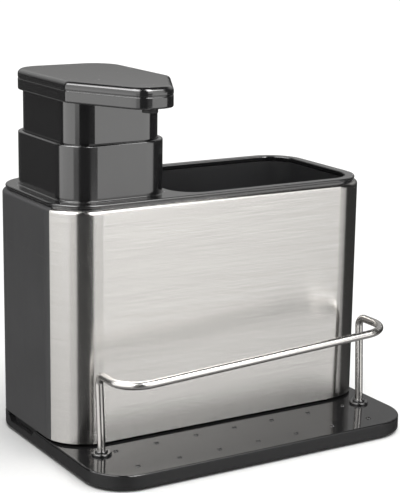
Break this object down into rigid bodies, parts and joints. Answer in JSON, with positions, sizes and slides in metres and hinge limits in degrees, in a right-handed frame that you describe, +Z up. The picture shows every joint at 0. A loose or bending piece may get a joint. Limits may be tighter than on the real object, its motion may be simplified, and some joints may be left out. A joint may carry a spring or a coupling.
{
  "type": "soap pump caddy",
  "caption": "Free-standing caddy with a press-down soap pump, an open brush well, a brushed steel front and a lift-off drip tray with a wire rail.",
  "frame": {"origin": "on the worktop, under the middle of the drip tray's footprint", "axes": "+X to the right along the steel front, +Y to the back, +Z up"},
  "size_m": [0.18, 0.1268, 0.1845],
  "materials": {
    "tray_plastic": "gloss black moulding",
    "body_plastic": "satin black moulding",
    "cover_plastic": "satin black moulding",
    "well_plastic": "fine matt black moulding",
    "brushed_sheet": "brushed along its length",
    "polished_wire": "polished stainless wire",
    "rubber": "matt",
    "clear_plastic": "translucent",
    "pump_plastic": "natural white moulding",
    "valve_steel": "polished ball",
    "spring_steel": "bright drawn wire"
  },
  "bodies": {
    "tray": {"base_tray": "tray_plastic", "rubber_feet": "rubber", "wire_rail": "polished_wire", "rail_bushes": "rubber", "rail_push_nuts": "spring_steel"},
    "caddy_body": {"body_shell": "body_plastic", "steel_wrap": "brushed_sheet", "brush_well": "well_plastic", "soap_tank": "clear_plastic"},
    "cover": {"top_cover": "cover_plastic", "tank_seal": "rubber", "pump_chamber": "pump_plastic", "chamber_washer": "rubber", "chamber_nut": "pump_plastic", "chamber_cap": "pump_plastic", "ball_cage": "pump_plastic", "dip_tube": "clear_plastic", "return_spring": "spring_steel"},
    "pump_head": {"pump_stem": "pump_plastic", "piston": "rubber", "guide_sleeve": "cover_plastic", "head_shell": "cover_plastic", "spout_channel": "pump_plastic", "nozzle": "tray_plastic", "head_cap": "cover_plastic"},
    "inlet_valve": {"inlet_ball": "valve_steel"},
    "outlet_valve": {"outlet_ball": "valve_steel"}
  },
  "joints": [
    {"name": "body_lift", "type": "slide", "parent": "tray", "child": "caddy_body", "axis": [0, 0, 1], "range_m": [0, 0.03]},
    {"name": "cover_lift", "type": "slide", "parent": "caddy_body", "child": "cover", "axis": [0, 0, 1], "range_m": [0, 0.11]},
    {"name": "pump_press", "type": "slide", "parent": "cover", "child": "pump_head", "axis": [0, 0, -1], "range_m": [0, 0.018], "stiffness_N_per_m": 300, "springref_m": -0.02, "deforming": ["return_spring"]},
    {"name": "inlet_ball_lift", "type": "slide", "parent": "cover", "child": "inlet_valve", "axis": [0, 0, 1], "range_m": [0, 0.0015]},
    {"name": "outlet_ball_lift", "type": "slide", "parent": "pump_head", "child": "outlet_valve", "axis": [0, 0, 1], "range_m": [0, 0.0012]}
  ]
}
